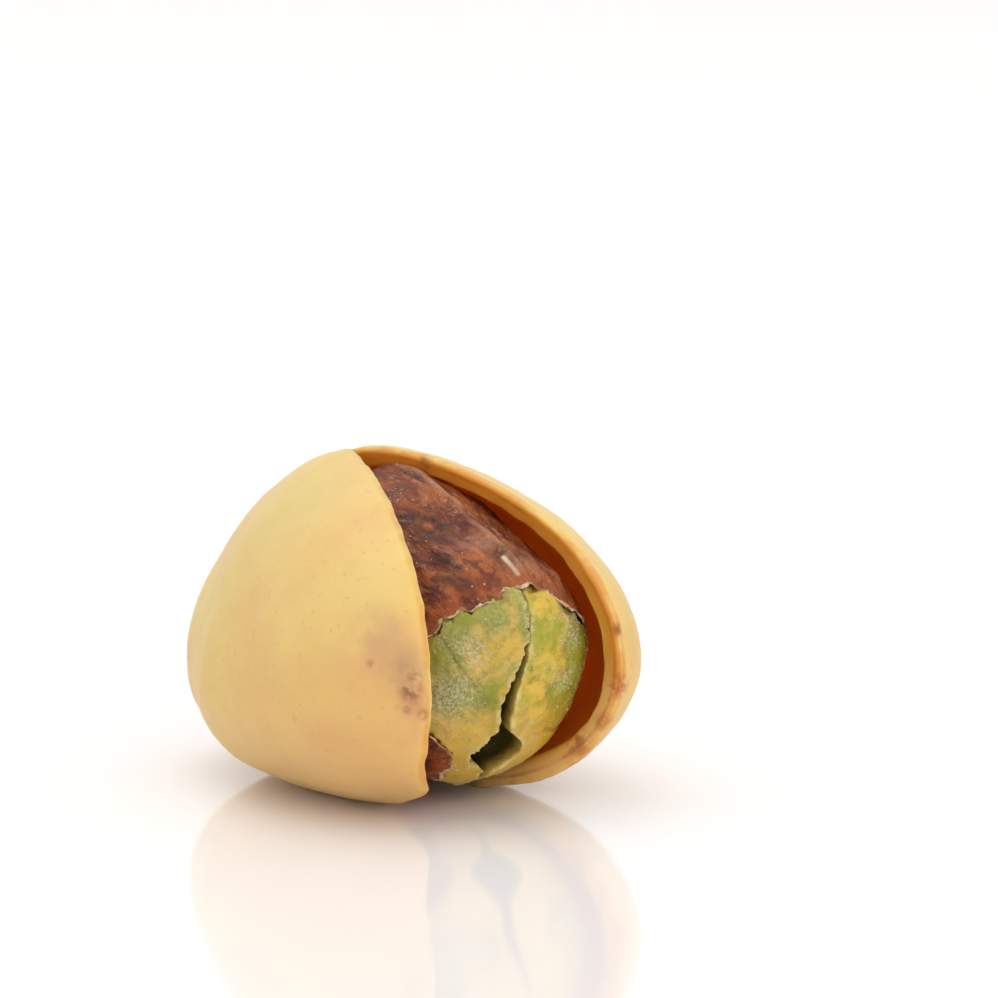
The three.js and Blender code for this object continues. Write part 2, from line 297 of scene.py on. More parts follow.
def new_finish(name, **shader_values):
    """A material, its Principled shader with some values set, and the place of each point."""
    material = bpy.data.materials.new(name)
    material.use_nodes = True
    shader = material.node_tree.nodes["Principled BSDF"]
    for socket, value in shader_values.items():
        shader.inputs[socket.replace("_", " ")].default_value = value
    return material, shader, node(material, "TexCoord", {}, "Object")


def apply_finish(material, shader, tone, noise_inputs, strength, depth_mm):
    """Gives the shader its colour, and a fine relief from a noise."""
    height = node(material, "TexNoise", noise_inputs)
    relief = {"Height": height, "Strength": strength, "Distance": depth_mm * MM}
    links = material.node_tree.links
    links.new(tone, shader.inputs["Base Color"])
    links.new(node(material, "Bump", relief, "Normal"), shader.inputs["Normal"])


# %% [markdown]
# ## Shell
# The shell is the ripened wall of the fruit, hard and about 0.8 mm thick. It grew smooth, with
# shallow dents, and split along its seam into two valves that are still joined at the base. It
# could be sculpted from a sphere, but the solid already has both valves and the wall, so its mesh
# is made finer with a subdivision surface. A crease keeps the outer edge of the rim firm, while
# its inner edge rounds off. Broad and fine swells are then pushed along the normals, and waves
# along the rim, all of them fading out near the surface that the nut rests on.

# %% Shell measures
LIP_CREASE = 0.4
OUTER_LIP_ANGLE = math.radians(30)
OUTER_LIP_FACING = 0.3


def out_of_nut(point):
    """The way out of the nut at a place on its wall, as if the nut were an ellipsoid."""
    middle, half = (cad_box[0] + cad_box[1]) / 2, (cad_box[1] - cad_box[0]) / 2
    return Vector([(point[i] - middle[i]) / half[i] ** 2 for i in range(3)]).normalized()


def crease_outer_lip(piece):
    """Creases the edge where the rim meets the outside of the wall, and returns points on it."""
    mesh = bmesh.new()
    mesh.from_mesh(piece.data)
    crease = mesh.edges.layers.float.new("crease_edge")
    points = []
    for edge in mesh.edges:
        if not is_sharp(edge, OUTER_LIP_ANGLE):
            continue
        out = out_of_nut(edge.verts[0].co)
        if sum(face.normal.dot(out) for face in edge.link_faces) > OUTER_LIP_FACING:
            edge[crease] = LIP_CREASE
            points += points_on(edge)
    mesh.to_mesh(piece.data)
    mesh.free()
    return points


# %% Shell swells
REST_CLEAR = 0.5 * MM
RESTING = 0.02 * MM


def weigh(piece, name, weight_of):
    """A vertex group whose weights come from a function of the vertex. It spares the resting flats."""
    group = piece.vertex_groups.new(name=name)
    for vertex in piece.data.vertices:
        off_table = smooth_step(vertex.co.z, RESTING, REST_CLEAR)
        group.add([vertex.index], off_table * weight_of(vertex), "REPLACE")
    return group.name


def swell(piece, name, size, strength, group):
    """Pushes the surface in and out by a cloudy pattern, as far as a vertex group lets it."""
    clouds = bpy.data.textures.new(name, "CLOUDS")
    clouds.noise_scale = size
    clouds.noise_depth = 1
    modify(
        piece, "DISPLACE", texture=clouds, texture_coords="LOCAL",
        strength=strength, mid_level=0.5, vertex_group=group,
    )


# %% Shell mesh
BROAD_SWELL, BROAD_SWELL_DEPTH = 3.6 * MM, 0.16 * MM
FINE_SWELL, FINE_SWELL_DEPTH = 1.1 * MM, 0.06 * MM
RIM_WAVE, RIM_WAVE_DEPTH = 0.8 * MM, 0.13 * MM

# The rim's waves die out this far from it, in mm
RIM_WIDTH = 0.8

# The low corner of the left valve reaches forward, just off the table
CORNER = Vector((6.2, -3.4, 0.9)) * MM
CORNER_WIDTH = 2.6 * MM
CORNER_PULL = Vector((0.28, 0.5, 0.08)) * MM


def make_shell():
    """The two valves as one fine wall, with measures of how far it faces inwards and of its rim."""
    shell = finer_copy("shell", "nutshell")
    rim_tree = tree_of(rim_points(shell))
    outer_lip = tree_of(crease_outer_lip(shell))
    modify(shell, "SUBSURF", levels=2, render_levels=2)
    vertices = shell.data.vertices
    rim = [rim_tree.find(v.co)[2] / MM for v in vertices]
    # inside is 0 on the outside and 1 on the lining, and the other two are in mm from the edges
    measure(shell, "inside", [0.5 - 0.5 * v.normal.dot(out_of_nut(v.co)) for v in vertices])
    measure(shell, "rim", rim)
    measure(shell, "across_rim", [outer_lip.find(v.co)[2] / MM for v in vertices])
    for vertex in vertices:
        vertex.co += CORNER_PULL * smooth_step((vertex.co - CORNER).length, CORNER_WIDTH, 0)
    everywhere = weigh(shell, "everywhere", lambda vertex: 1.0)
    at_rim = weigh(shell, "rim", lambda vertex: smooth_step(rim[vertex.index], RIM_WIDTH, 0.1))
    swell(shell, "broad swell", BROAD_SWELL, BROAD_SWELL_DEPTH, everywhere)
    swell(shell, "fine swell", FINE_SWELL, FINE_SWELL_DEPTH, everywhere)
    swell(shell, "rim waves", RIM_WAVE, RIM_WAVE_DEPTH, at_rim)
    show_smooth(shell)
    return shell


nutshell = make_shell()
print("its lowest point is", round(min(v.co.z for v in nutshell.data.vertices) / MM, 4), "mm up")


# %% [markdown]
# ## Kernel's own directions
# The kernel lies in the shell with its tip down. Its skin is wrinkled along it and its halves are
# pushed out to lie evenly under the skin, so both need to know where a point lies in the kernel
# itself. The kernel is taken for a rounded form, blunt at its tip and long at its rear, with a
# formula for how deep under its surface a point is.

# %% Kernel's own directions
# All in mm, apart from the bluntness, which is 2 for an ellipsoid and more for a squarer end
KERNEL_AHEAD, KERNEL_ASIDE, KERNEL_ABOVE = 3.48, 0.15, 2.22
KERNEL_MIDDLE = NUT_MIDDLE + Vector((KERNEL_AHEAD, KERNEL_ASIDE, KERNEL_ABOVE)) * MM
KERNEL_DIP = math.radians(20)
TO_TIP = Vector((math.cos(KERNEL_DIP), 0, -math.sin(KERNEL_DIP)))
TO_TOP = Vector((math.sin(KERNEL_DIP), 0, math.cos(KERNEL_DIP)))
FRONT = {"length": 4.45, "bluntness": 3.2}
REAR = {"length": 9.3, "bluntness": 2.5}
HALF_WIDTH = 4.4
HEIGHT_ABOVE, HEIGHT_BELOW = 4.4, 4.8


def in_kernel(point):
    """A point's place in the kernel, in mm: towards its tip, to its right and towards its top."""
    from_middle = (point - KERNEL_MIDDLE) / MM
    return Vector((from_middle.dot(TO_TIP), from_middle.y, from_middle.dot(TO_TOP)))


def under_form(local):
    """How deep a point lies under the kernel's rounded form, in mm, and the way out of it."""
    end = FRONT if local.x > 0 else REAR
    height = HEIGHT_ABOVE if local.z > 0 else HEIGHT_BELOW
    along = abs(local.x) / end["length"]
    form = along ** end["bluntness"] + (local.y / HALF_WIDTH) ** 2 + (local.z / height) ** 2
    along_slope = end["bluntness"] * along ** (end["bluntness"] - 1) / end["length"]
    slope = Vector(
        (math.copysign(along_slope, local.x), 2 * local.y / HALF_WIDTH**2, 2 * local.z / height**2)
    )
    out = (TO_TIP * slope.x + Vector((0, slope.y, 0)) + TO_TOP * slope.z).normalized()
    return (1 - form) / slope.length, out


print("the kernel's middle is at", [round(x / MM, 2) for x in KERNEL_MIDDLE], "mm")


# %% [markdown]
# ## Seed skin
# Under the shell the seed has a thin papery coat, reddish brown with dark blotches. Drying has
# wrinkled it lengthwise, and it is torn off the front of the kernel, which leaves a ragged pale
# edge. A cloth simulation could shrink a sheet onto the kernel, but the solid already has the tear
# and lies where the skin does. It is thicker than real skin, so the piece keeps only its outer
# face, which is subdivided, wrinkled, and then given a thin wall that points inwards.

# %% Outside of a wall
def faces_by_side(mesh):
    """Groups of faces that no sharp edge crosses, the largest first."""
    sharp = {edge for edge in mesh.edges if is_sharp(edge)}
    grouped, groups = set(), []
    for start in mesh.faces:
        if start in grouped:
            continue
        group, waiting = [], [start]
        grouped.add(start)
        while waiting:
            face = waiting.pop()
            group.append(face)
            smooth_edges = [edge for edge in face.edges if edge not in sharp]
            beside = {other for edge in smooth_edges for other in edge.link_faces} - grouped
            grouped |= beside
            waiting += beside
        groups.append(group)
    return sorted(groups, key=lambda group: -sum(face.calc_area() for face in group))


def keep_outside(piece):
    """Deletes the inner face and the rim of a closed wall, so that only its outside is left."""
    mesh = bmesh.new()
    mesh.from_mesh(piece.data)
    outer, inner = faces_by_side(mesh)[:2]
    on_inner = {vertex for face in inner for vertex in face.verts}
    print("the outside has", len(outer), "faces and the inside", len(inner))
    doomed = [vertex for vertex in mesh.verts if vertex in on_inner]
    bmesh.ops.delete(mesh, geom=doomed, context="VERTS")
    mesh.to_mesh(piece.data)
    mesh.free()


def border_points(piece):
    """The vertices on the open edge of a sheet."""
    mesh = bmesh.new()
    mesh.from_mesh(piece.data)
    found = [vertex.co.copy() for vertex in mesh.verts if vertex.is_boundary]
    mesh.free()
    return found


# %% Wrinkles, folds and tears
SKIN_THICKNESS = 0.07 * MM
WRINKLE_LENGTH = 2.6
WRINKLE_WIDTH = 0.55
WRINKLE_HEIGHT = 0.12 * MM

# The torn edge is ragged and curls up a little, in mm from the edge
RAGGED_WIDTH, RAGGED_DEPTH = 0.5, 0.2
CURL_WIDTH, CURL_HEIGHT = 0.3, 0.1

# The top of the kernel, in mm above its middle
TOP_FROM, TOP_TO = 1.5, 3.6

# The skin fills the room under the top of the shell, where the kernel presses against it
TOP_PRESS = 0.44
TOP_PRESS_FROM, TOP_PRESS_TO = -0.6, -4.6
TOP_PRESS_REAR, TOP_PRESS_END = -6.2, -8.6

# A fold runs along the top of the kernel to the torn edge
FOLD_SIDE = 0.42
FOLD_BEND = 0.25
FOLD_WIDTH = 0.3
FOLD_HEIGHT = 0.22


def wrinkle_at(local):
    """Lengthwise wrinkles, from about -1 to 1."""
    around = math.atan2(local.z, local.y) * HALF_WIDTH
    at = Vector((local.x / WRINKLE_LENGTH, around / WRINKLE_WIDTH, 0.3 * local.x))
    return noise.noise(at) + 0.5 * noise.noise(at * 2.3) + 0.3 * noise.noise(local * 2.0)


def press_at(local, on_top):
    """How far the rear of the top is pressed up, in mm."""
    press = TOP_PRESS * on_top * smooth_step(local.x, TOP_PRESS_FROM, TOP_PRESS_TO)
    return press * smooth_step(local.x, TOP_PRESS_END, TOP_PRESS_REAR)


def fold_at(local, on_top):
    """1 on the crest of the fold and 0 away from it."""
    bend = FOLD_SIDE + FOLD_BEND * noise.noise(Vector((local.x * 0.5, 0, 7)))
    return math.exp(-(((local.y - bend) / FOLD_WIDTH) ** 2)) * on_top


# %% Seed skin mesh
def shape_skin(skin):
    """Wrinkles and folds the sheet and frays its edge. Returns how near each vertex is to the fold."""
    edge_tree = tree_of(border_points(skin))
    mesh = bmesh.new()
    mesh.from_mesh(skin.data)
    mesh.normal_update()
    folds = []
    for vertex in mesh.verts:
        away = edge_tree.find(vertex.co)[2] / MM
        local = in_kernel(vertex.co)
        on_top = smooth_step(local.z, TOP_FROM, TOP_TO)
        ragged = smooth_step(away, RAGGED_WIDTH, 0.0)
        curl = smooth_step(away, CURL_WIDTH, 0.0) * CURL_HEIGHT * max(0.0, noise.noise(local * 1.3) + 0.1)
        fold = fold_at(local, on_top)
        folds.append(fold)
        tear = noise.noise(local * 2.2) + 0.7 * noise.noise(local * 5.5)
        vertex.co += vertex.normal * (WRINKLE_HEIGHT * wrinkle_at(local) * (1 - 0.5 * ragged))
        vertex.co += vertex.normal * ((curl + press_at(local, on_top) + FOLD_HEIGHT * fold) * MM)
        vertex.co += TO_TIP * (RAGGED_DEPTH * MM * tear * ragged)
    mesh.to_mesh(skin.data)
    mesh.free()
    return folds


def make_skin():
    """The torn, wrinkled seed coat, with its measures: fold and torn."""
    skin = finer_copy("seed_coat", "seed_skin")
    keep_outside(skin)
    modify(skin, "SUBSURF", levels=2, render_levels=2)
    measure(skin, "fold", shape_skin(skin))
    modify(skin, "SOLIDIFY", thickness=SKIN_THICKNESS, offset=-1.0)
    edge_tree = tree_of(rim_points(skin, steps=1))
    measure(skin, "torn", [edge_tree.find(v.co)[2] / MM for v in skin.data.vertices])
    show_smooth(skin)
    return skin


seed_skin = make_skin()


# %% [markdown]
# ## Kernel halves
# The kernel is two waxy seed leaves, face to face. Where they part, each has a crumbly lip, and
# the cleft ends in a pit at the bottom. A subdivision surface would pinch where the cleft, the pit
# and the outside meet. A voxel remesh turns each solid into an even skin of small quads with
# softly rounded edges instead. It is then pushed out to just under the skin, dented by noise, and
# raised along the lips.

# %% Kernel relief
VOXEL = 0.062 * MM
LIP_WIDTH = 0.34

# How far under the kernel's rounded form its surface lies, in mm, bare and under the skin
BARE_DEPTH, COVERED_DEPTH = 0.12, 0.34
SKIN_EDGE = 0.3

# The outside of a half faces out of the kernel and lies near its form. Each pair is from 0 to 1
OUTSIDE_FACING, OUTSIDE_DEPTH = (0.15, 0.6), (0.9, 0.6)

# A wall of the cleft, which is turned away, gets painted shade as dark as flesh this much deeper, in mm
CLEFT_SHADE_FACING, CLEFT_SHADE_DEPTH = (0.3, 0.8), 0.32

# Only the upper part of a lip leans over the cleft, in mm above the kernel's middle
LEANING_FROM, LEANING_TO = -0.6, 0.6

skin_tree = tree_of([v.co for v in seed_skin.data.vertices])
torn_distance = read(seed_skin, "torn")


def crumb_at(place):
    """How crumbly a lip is, mostly from 0 to 1."""
    return 0.45 + 1.1 * noise.noise(place * 2.6) + 0.5 * noise.noise(place * 6.0)


def dent_at(place):
    """Dents and fine grain, in mm."""
    dents = 0.09 * noise.noise(place * 0.55) + 0.06 * noise.noise(place * 1.4)
    return dents + (0.02 * noise.noise(place * 3.7) + 0.012 * noise.noise(place * 8.0))


def covered_by_skin(point):
    """0 on the bare kernel and 1 under the skin, with a soft rise at the torn edge."""
    return smooth_step(torn_distance[skin_tree.find(point)[1]], 0.0, SKIN_EDGE)


def shape_half(half, lip_tree, seed, lip_height, overlap):
    """Gives a half its depth, dents and lips. Returns two measures of each vertex: lip, and the depth
    that sets the painted shade in the cleft and pit.
    """
    mesh = bmesh.new()
    mesh.from_mesh(half.data)
    mesh.normal_update()
    to_lip, cleft_shade_depth = [], []
    for vertex in mesh.verts:
        away = lip_tree.find(vertex.co)[2] / MM
        local = in_kernel(vertex.co)
        depth, out = under_form(local)
        under_skin = covered_by_skin(vertex.co)
        facing = vertex.normal.dot(out)
        on_outside = smooth_step(facing, *OUTSIDE_FACING) * smooth_step(depth, *OUTSIDE_DEPTH)
        rise = depth - (BARE_DEPTH + (COVERED_DEPTH - BARE_DEPTH) * under_skin)
        vertex.co += out * (rise * on_outside * MM)
        # painted shade: walls of the cleft that are turned away count as deeper, so they are painted
        # darker
        turned = 1 - smooth_step(facing, *CLEFT_SHADE_FACING)
        to_lip.append(away)
        cleft_shade_depth.append(depth + (CLEFT_SHADE_DEPTH * turned - rise * on_outside))
        place = local + Vector((seed, 0, 0))
        lip = smooth_step(away, LIP_WIDTH, 0.03)
        crumb = crumb_at(place)
        vertex.co += vertex.normal * (MM * dent_at(place) * (1 - under_skin))
        vertex.co += out * (lip_height * lip * crumb * MM)
        upper = smooth_step(local.z, LEANING_FROM, LEANING_TO)
        vertex.co.y += overlap * lip * upper * (0.7 + crumb) * MM
    mesh.to_mesh(half.data)
    mesh.free()
    return to_lip, cleft_shade_depth


# %% Kernel mesh
def make_half(node_name, name, seed, lip_height, overlap):
    """One seed leaf. overlap is how far its lip leans over the cleft, in mm."""
    half = finer_copy(node_name, name)
    lip_tree = tree_of(rim_points(half))
    modify(half, "REMESH", mode="VOXEL", voxel_size=VOXEL)
    modify(half, "SMOOTH", factor=0.5, iterations=3)
    to_lip, cleft_shade_depth = shape_half(half, lip_tree, seed, lip_height, overlap)
    measure(half, "lip", to_lip)
    measure(half, "cleft_shade_depth", cleft_shade_depth)
    show_smooth(half)
    return half


half_left = make_half("cotyledon_left", "kernel_half_left", seed=3.0, lip_height=0.11, overlap=0.1)
half_right = make_half("cotyledon_right", "kernel_half_right", seed=11.0, lip_height=0.07, overlap=0.0)


# %% [markdown]
# ## Satin nutshell
# A pistachio's shell is lignin-hard and polished by tumbling: satin, pale yellow tan, a little
# greener at the top. It is painted browner low down, a painted shade. Light goes a millimetre or
# two into it. The rim carries a thin brown line where the two valves had grown together, and the tip
# has a bruise. A plain tan would look like plastic, so each of these is a layer of its own.

# %% Nutshell stains and marks
# Soft stains: the middle and the radius in mm, how strong, and the colour
STAINS = [
    ((-0.8, -4.2, 10.6), 4.5, 0.5, "#d3c277"),
    ((-2.6, -5.9, 7.2), 3.5, 0.35, "#d3bf70"),
    ((7.5, -5.8, 6.6), 2.4, 0.5, "#c79a76"),
    ((7.3, -5.7, 7.8), 1.4, 0.45, "#b39878"),
    ((8.2, -5.2, 6.3), 1.3, 0.55, "#a98768"),
    ((8.55, -5.0, 5.1), 1.0, 0.6, "#b57f5c"),
    ((5.7, -6.3, 3.0), 2.2, 0.3, "#cf9c6c"),
    ((8.4, -4.6, 4.0), 1.5, 0.4, "#d59d70"),
]

# Small hard marks, the same way
MARKS = [
    ((8.5, -5.1, 5.5), 0.6, 0.85, "#8a5636"),
    ((8.6, -5.0, 6.0), 0.45, 0.6, "#96684a"),
    ((8.7, -4.7, 4.6), 0.35, 0.7, "#8a5534"),
    ((8.4, -5.2, 4.8), 0.3, 0.6, "#a06a48"),
    ((7.3, -6.0, 6.4), 0.25, 0.6, "#a5764e"),
    ((0.54, 1.3, 11.9), 0.5, 0.8, "#8a5a2c"),
    ((9.1, 3.7, 6.7), 0.4, 0.9, "#7d4a22"),
    ((9.1, 3.7, 4.6), 0.7, 0.9, "#a0521e"),
    ((7.2, 3.1, 2.3), 0.9, 0.8, "#9a5a2c"),
    ((8.4, 3.5, 3.2), 0.6, 0.7, "#a0622e"),
]
print(len(STAINS), "stains and", len(MARKS), "marks")


# %% Nutshell finish
def woody_tone(material, place, height):
    """The outside of the shell: tan, hazed and flecked, with painted shade low down, and stained."""
    tone = paint(material, "#e1c278", "#dfb671", patches(material, lumps(place, 5.0, 2.0), 0.3, 0.7))
    haze = patches(material, lumps(place, 1.5, distortion=0.4), 0.4, 0.75, most=0.25)
    tone = paint(material, tone, "#cfa869", haze)
    flecks = patches(material, lumps(place, 0.28, 2.0), 0.62, 0.74, most=0.35)
    tone = paint(material, tone, "#c39a5c", flecks)
    # painted shade: browner towards the table, from 6 mm up down to it
    tone = paint(material, tone, "#cfa067", mask(material, height, 6.0 * MM, 0.5 * MM, most=0.3))
    return spotted(material, tone, place, patches(material, lumps(place, 1.6), 0.25, 0.6), STAINS)


def rim_tone(material, tone, place, height):
    """The rim over the outside's tone: its face, the brown groove along it, and its outer edge."""
    face_tone = paint(material, "#dcb47c", "#b87a20", mask(material, height, 3.0 * MM, 6.0 * MM))
    on_face = mask(material, "inside", 0.14, 0.38)
    tone = paint(material, tone, face_tone, on_face, mask(material, "across_rim", 0.04, 0.3))
    patchy = patches(material, lumps(place, 1.1, 4.0), 0.36, 0.6, least=0.3)
    groove_start = mask(material, "across_rim", 0.24, 0.32)
    groove_end = mask(material, "across_rim", 0.46, 0.36)
    off_outside = mask(material, "inside", 0.08, 0.25)
    tone = paint(material, tone, "#96591f", groove_start, groove_end, patchy, off_outside, 0.65)
    return paint(material, tone, "#c97f38", mask(material, "across_rim", 0.34, 0.1), patchy, 0.75)


def lining_and_glow_tone(material, place):
    """The inside of the shell: partly its own tan, partly a painted amber glow of light through the wall.
    """
    # partly painted glow: deep amber near the rim, pale gold further in, with amber patches
    tone = paint(material, "#d49a38", "#fbd680", mask(material, "rim", 0.5, 2.6))
    return paint(material, tone, "#e0a040", patches(material, lumps(place, 2.2), 0.4, 0.7), 0.5)


def nutshell_finish():
    """Satin woody shell."""
    material, shader, place = new_finish(
        "satin nutshell", Roughness=0.42, IOR=1.48,
        Subsurface_Weight=1.0, Subsurface_Radius=(1.0, 0.85, 0.3), Subsurface_Scale=1.9 * MM,
    )
    height = node(material, "SeparateXYZ", {0: place}, "Z")
    tone = rim_tone(material, woody_tone(material, place, height), place, height)
    tone = paint(material, tone, lining_and_glow_tone(material, place), mask(material, "inside", 0.55, 0.95))
    ragged = patches(material, lumps(place, 0.35, 4.0, 0.65), 0.36, 0.56)
    tone = spotted(material, tone, place, ragged, MARKS)
    apply_finish(material, shader, tone, lumps(place, 0.35, 4.0), strength=0.15, depth_mm=0.05)
    return material


# %% [markdown]
# ## Papery seed skin
# The skin is dead tissue, dry and satin, with tannins that colour it from pinkish brown to purple
# black. It is thinnest at the torn edge, where it turns orange and then pale. One noise would make
# it look like marble, so blotches, creases, streaks and flakes each have a layer of their own
# size, and most are stretched along the kernel, as its veins and wrinkles are. The dark creases are
# painted shade, and the pale crest of the fold is a painted highlight.

# %% Seed skin blotches and scrape
DARK_PATCHES = [
    ((3.84, -0.77, 10.11), 1.3, 0.9, "#2a1618"),
    ((1.4, -0.6, 11.0), 1.0, 0.6, "#3a1f1c"),
    ((6.6, -1.6, 8.7), 0.8, 0.5, "#44231c"),
]
PINK_PATCHES = [((7.0, 1.8, 8.6), 2.2, 0.6, "#b57d5e"), ((5.4, 0.2, 9.6), 1.2, 0.5, "#b98566")]

# A pale scrape runs down beside the fold
SCRAPE_START = Vector((6.5, 0.5, 9.3)) * MM
SCRAPE_END = Vector((7.25, 0.56, 8.8)) * MM
SCRAPE_WIDTH = 0.16 * MM


def off_line(material, place, start, end):
    """The distance of each point from a straight line between two places."""
    run = end - start
    pitch = list(run / run.length_squared)
    from_start = node(material, "VectorMath", {0: place, 1: start}, operation="SUBTRACT")
    share = node(material, "VectorMath", {0: from_start, 1: pitch}, "Value", operation="DOT_PRODUCT")
    share = node(material, "Math", {0: share, 1: 1.0}, operation="MULTIPLY", use_clamp=True)
    nearest = node(material, "VectorMath", {0: list(run), "Scale": share}, operation="SCALE")
    return node(material, "VectorMath", {0: from_start, 1: nearest}, "Value", operation="DISTANCE")


print("the scrape is", round((SCRAPE_END - SCRAPE_START).length / MM, 2), "mm long")


# %% Seed skin finish
def blotched_tone(material, place, along):
    """Brown skin with purple blotches, painted shade in lengthwise creases, pale streaks, flakes and
    specks.
    """
    tone = paint(material, "#6a2a12", "#a65926", patches(material, lumps(along, 0.8, 4.0), 0.38, 0.64))
    blotches = patches(material, lumps(place, 1.7, 5.0, distortion=0.6), 0.53, 0.68, most=0.85)
    tone = paint(material, tone, "#2c1518", blotches)
    # painted shade: dark lengthwise streaks where the creases would lie in shade
    crease_shade = patches(material, lumps(along, 0.5, 4.0, distortion=0.8), 0.47, 0.36, most=0.6)
    tone = paint(material, tone, "#3a1810", crease_shade)
    streaks = patches(material, lumps(along, 0.45, 4.0), 0.57, 0.75, most=0.6)
    tone = paint(material, tone, "#be8a66", streaks)
    flaky = patches(material, lumps(place, 1.3), 0.42, 0.6)
    flakes = patches(material, lumps(along, 0.17, 5.0, 0.7), 0.5, 0.66, most=0.55)
    tone = paint(material, tone, "#c4987c", flaky, flakes)
    specks = patches(material, lumps(place, 0.2, 4.0, 0.7), 0.44, 0.34, most=0.6)
    return paint(material, tone, "#33140f", specks)


def torn_tone(material, tone, place):
    """The torn edge over the skin's tone: orange where it thins, and pale where it is frayed."""
    glow = mask(material, "torn", 1.2, 0.2, most=0.75)
    tone = paint(material, tone, "#a9531c", glow, patches(material, lumps(place, 1.2), 0.35, 0.6))
    reach = patches(material, lumps(place, 0.7), 0.4, 0.68, least=0.03, most=0.2)
    frayed = mask(material, "torn", reach, product(material, reach, 0.5))
    pale = paint(material, "#e6cdb0", "#a86c44", patches(material, lumps(place, 0.5), 0.4, 0.6))
    return paint(material, tone, pale, frayed)


def skin_finish():
    """Papery, blotched seed coat."""
    material, shader, place = new_finish("papery seed skin", Roughness=0.52, IOR=1.4)
    lengthwise = {"Vector": place, "Rotation": (0, -KERNEL_DIP, 0), "Scale": (0.35, 1, 1)}
    along = node(material, "Mapping", lengthwise, "Vector")
    tone = blotched_tone(material, place, along)
    # painted highlight: the crest of the fold is lightened, broken up by patches
    fold_highlight_patches = patches(material, lumps(along, 0.6, 4.0), 0.35, 0.6)
    tone = paint(material, tone, "#bf8c6c", mask(material, "fold", 0.5, 1.0), fold_highlight_patches, 0.6)
    ragged = patches(material, lumps(place, 0.8, 5.0, 0.65), 0.36, 0.56)
    tone = spotted(material, tone, place, ragged, PINK_PATCHES + DARK_PATCHES)
    off_scrape = off_line(material, place, SCRAPE_START, SCRAPE_END)
    scrape = mask(material, off_scrape, SCRAPE_WIDTH, 0.3 * SCRAPE_WIDTH)
    tone = torn_tone(material, paint(material, tone, "#e6cdb4", scrape), place)
    apply_finish(material, shader, tone, lumps(along, 0.3, 5.0, 0.65), strength=1.0, depth_mm=0.2)
    return material


# %% [markdown]
# ## Waxy seed flesh
# The seed leaves are firm and oily, olive green with yellow patches, yellower and rusty at the
# bottom, and painted dark down in the cleft and the pit, a painted shade. They look matt because
# the finest salt clings to them in drifts. Such powder is too fine to model, so it is painted here,
# a little coarser than it is, and only the larger crumbs are modelled below.

# %% Kernel finish
# Where the salt has drifted: the middle of each drift, and its radius in mm
DRIFTS = [
    ((7.15, -2.52, 4.6), 1.4),
    ((7.5, -1.8, 6.4), 0.9),
    ((7.3, 2.4, 6.6), 1.1),
    ((7.4, 2.2, 4.9), 0.8),
]


def waxy_tone(material, place, green, yellow):
    """Green flesh with yellow, dark and mottled patches, yellower low down."""
    yellowed = patches(material, lumps(place, 1.7, distortion=0.4), 0.4, 0.6)
    tone = paint(material, green, yellow, yellowed)
    dark = patches(material, lumps(place, 0.9, 4.0), 0.54, 0.72, most=0.7)
    tone = paint(material, tone, "#747618", dark)
    mottle = patches(material, lumps(place, 0.35, 4.0, 0.65), 0.46, 0.66, most=0.45)
    tone = paint(material, tone, "#8b8428", mottle)
    height = node(material, "SeparateXYZ", {0: place}, "Z")
    low = mask(material, height, 4.6 * MM, 2.6 * MM, most=0.8)
    tone = paint(material, tone, "#d6ac3a", low)
    rusty = patches(material, lumps(place, 0.8, 4.0), 0.56, 0.7)
    return paint(material, tone, "#b67f2e", low, rusty, 0.7)


def frosted_tone(material, tone, place):
    """The finest salt over the flesh: a thin veil all over, and drifts."""
    drift = patches(material, lumps(place, 1.5, 4.0), 0.46, 0.62)
    powder = patches(material, lumps(place, 0.12, 3.0, 0.7), 0.44, 0.62)
    tone = paint(material, tone, "#cfc3a0", drift, powder, 0.3)
    frost = [(centre, 1.2 * radius, 0.75, "#d2c8b0") for centre, radius in DRIFTS]
    return spotted(material, tone, place, powder, frost)


def flesh_finish(name, green, yellow):
    """Waxy seed flesh, pale along its lips, with painted shade in the cleft and the pit."""
    material, shader, place = new_finish(
        name, Roughness=0.45, IOR=1.47,
        Subsurface_Weight=0.2, Subsurface_Radius=(1.0, 0.8, 0.2), Subsurface_Scale=0.4 * MM,
    )
    tone = waxy_tone(material, place, green, yellow)
    crumbly = patches(material, lumps(place, 0.3, 4.0), 0.42, 0.58, least=0.1)
    tone = paint(material, tone, "#d9c78c", mask(material, "lip", 0.24, 0.03, most=0.75), crumbly)
    tone = frosted_tone(material, tone, place)
    # painted shade: the flesh turns dark olive brown the deeper it lies in the cleft and the pit
    tone = paint(material, tone, "#4a3e14", mask(material, "cleft_shade_depth", 0.2, 1.2))
    apply_finish(material, shader, tone, lumps(place, 0.22, 5.0, 0.6), strength=0.7, depth_mm=0.08)
    return material


print("the finest salt lies in", len(DRIFTS), "drifts")


# %% [markdown]
# ## Salt
# The nut was roasted with salt, which stays on it as fine crumbs, most of them in drifts. A particle
# system could scatter them, but its copies would still have to be made real. So one crumb is
# modelled, and a loop copies it, turned and sized at random, half sunk in the face that it sticks
# to. They are joined in one mesh. A dozen corners each are enough at this size.

# %% Salt crumbs
# In mm, and how much of its radius a crumb's middle stands out of the face
CRUMB_RADII = (0.012, 0.042)
STANDING_OUT = 0.4
SALT_SEED = 11

# Crumbs for each square mm: on the bare kernel all over, in clouds and in drifts, and on the skin
KERNEL_CRUMBS, CLOUD_CRUMBS, DRIFT_CRUMBS = 4, 34, 70
SKIN_CRUMBS, FROST_CRUMBS = 0.8, 40

# Salt lies on the kernel in front of this place along it, in mm, where it faces out this much
SALT_FROM, SALT_FACING = -1.0, 0.6

